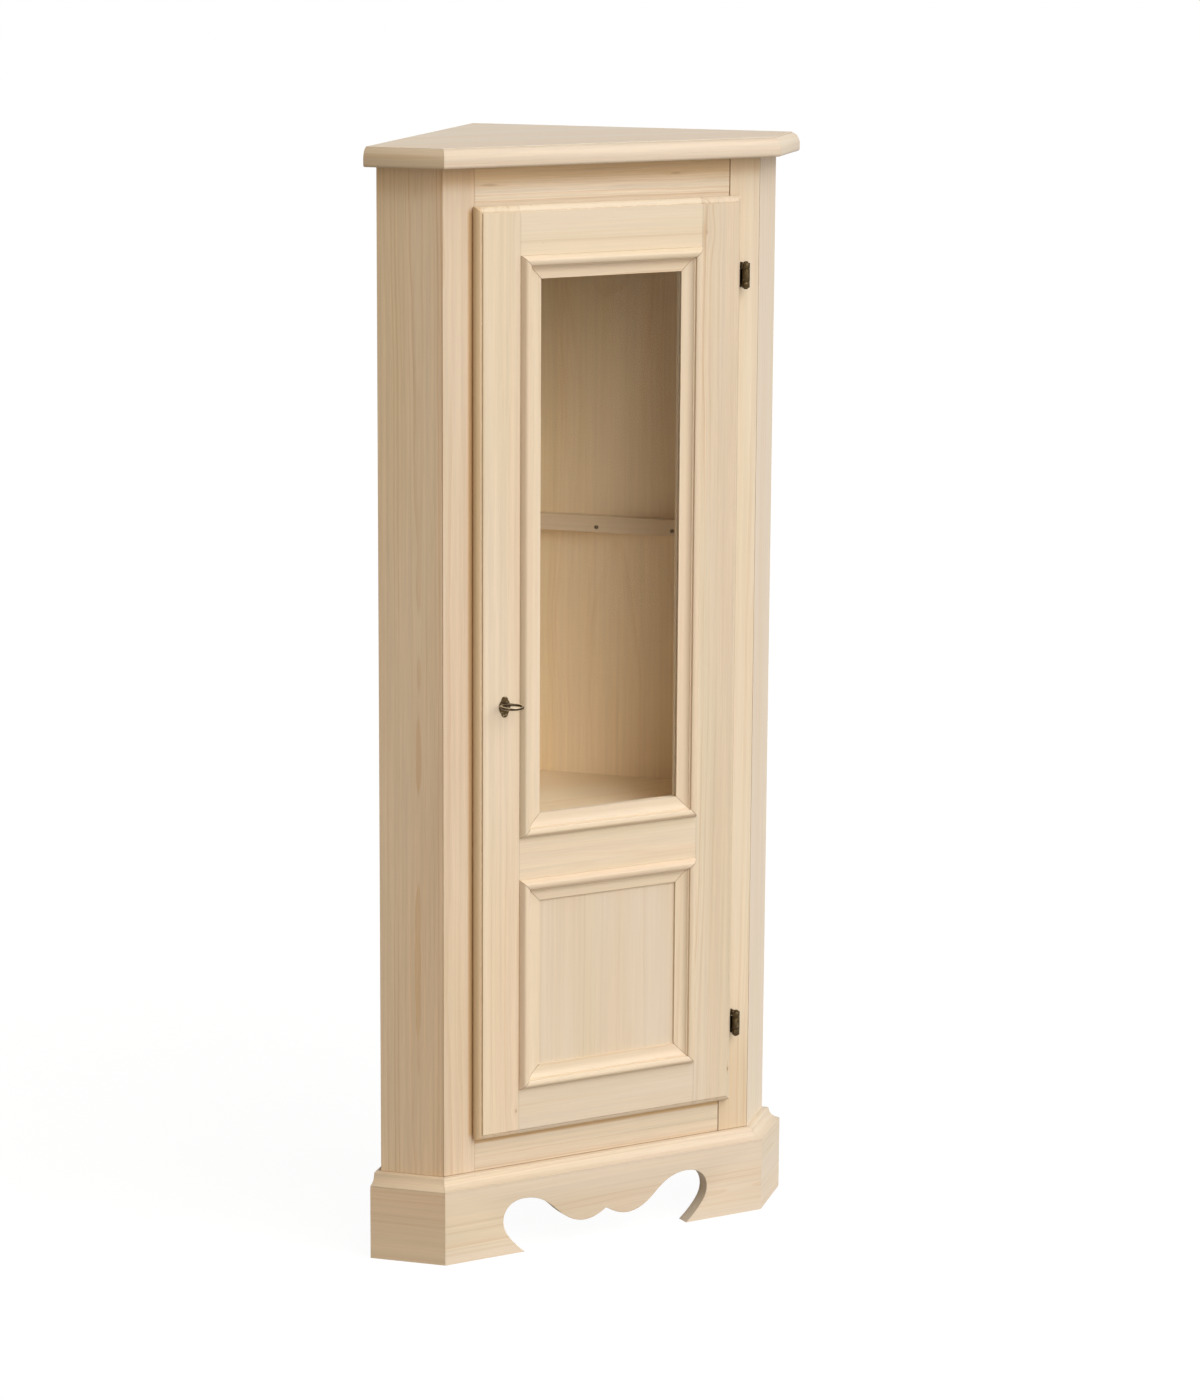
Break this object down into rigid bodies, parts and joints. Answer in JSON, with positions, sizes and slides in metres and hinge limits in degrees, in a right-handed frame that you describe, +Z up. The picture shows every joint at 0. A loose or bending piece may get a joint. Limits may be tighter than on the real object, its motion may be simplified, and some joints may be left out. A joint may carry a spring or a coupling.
{
  "type": "corner cupboard",
  "caption": "Tall five-sided pine corner cupboard on a scrolled plinth, with one door that is glazed above and panelled below, pin hinges and a key lock.",
  "frame": {"origin": "On the floor, at the middle of the outer box in plan", "axes": "+Z up, -Y out of the door's face, +X to the right as seen from the front. The right wall of the room runs from the back corner towards +X and -Y, the left wall towards -X and -Y"},
  "size_m": [0.8126, 0.5292, 1.85],
  "materials": {
    "pine": "raw sanded pine with a matte wax",
    "plywood": "raw pine-faced plywood, matte",
    "glass": "clear flat glass",
    "bronze": "dark antique bronze, worn brighter on the high spots",
    "steel": "plain brushed steel"
  },
  "bodies": {
    "carcass": {"top_panel": "pine", "top_edge_front": "pine", "top_edge_left": "pine", "top_edge_right": "pine", "base_panel": "pine", "base_cap_front": "pine", "base_cap_left": "pine", "base_cap_right": "pine", "plinth_front": "pine", "plinth_left": "pine", "plinth_right": "pine", "plinth_block_left": "pine", "plinth_block_right": "pine", "rear_foot": "pine", "left_post": "pine", "right_post": "pine", "left_side": "pine", "right_side": "pine", "left_back": "plywood", "right_back": "plywood", "shelf_batten_left": "pine", "shelf_batten_right": "pine", "rear_corner_post": "pine", "frame_top_rail": "pine", "frame_bottom_rail": "pine", "floor_board": "pine", "middle_board": "pine", "strike_plate": "steel", "upper_hinge_frame_leaf": "bronze", "upper_hinge_pin": "bronze", "lower_hinge_frame_leaf": "bronze", "lower_hinge_pin": "bronze"},
    "door": {"door_left_stile": "pine", "door_right_stile": "pine", "door_top_rail": "pine", "door_lock_rail": "pine", "door_bottom_rail": "pine", "glass_moulding_top": "pine", "glass_moulding_bottom": "pine", "glass_moulding_left": "pine", "glass_moulding_right": "pine", "panel_moulding_top": "pine", "panel_moulding_bottom": "pine", "panel_moulding_left": "pine", "panel_moulding_right": "pine", "door_panel": "plywood", "glass_pane": "glass", "glass_bead_top": "pine", "glass_bead_bottom": "pine", "glass_bead_left": "pine", "glass_bead_right": "pine", "upper_hinge_door_leaf": "bronze", "lower_hinge_door_leaf": "bronze", "lock_case": "steel", "escutcheon": "bronze"},
    "lock_bolt": {"lock_bolt": "steel"},
    "key": {"key": "bronze"}
  },
  "joints": [
    {"name": "door_swing", "type": "hinge", "parent": "carcass", "child": "door", "pos_m": [0.2595, -0.21565, 0.977], "axis": [0, 0, 1], "range_deg": [0, 135]},
    {"name": "key_turn", "type": "hinge", "parent": "door", "child": "key", "pos_m": [-0.1915, -0.21765, 0.943], "axis": [0, 1, 0], "range_deg": [0, 180]},
    {"name": "bolt_slide", "type": "slide", "parent": "door", "child": "lock_bolt", "axis": [-1, 0, 0], "range_m": [0, 0.009]}
  ],
  "couplings": [
    {"joint": "bolt_slide", "follows": "key_turn", "m_per_rad": 0.002864}
  ]
}
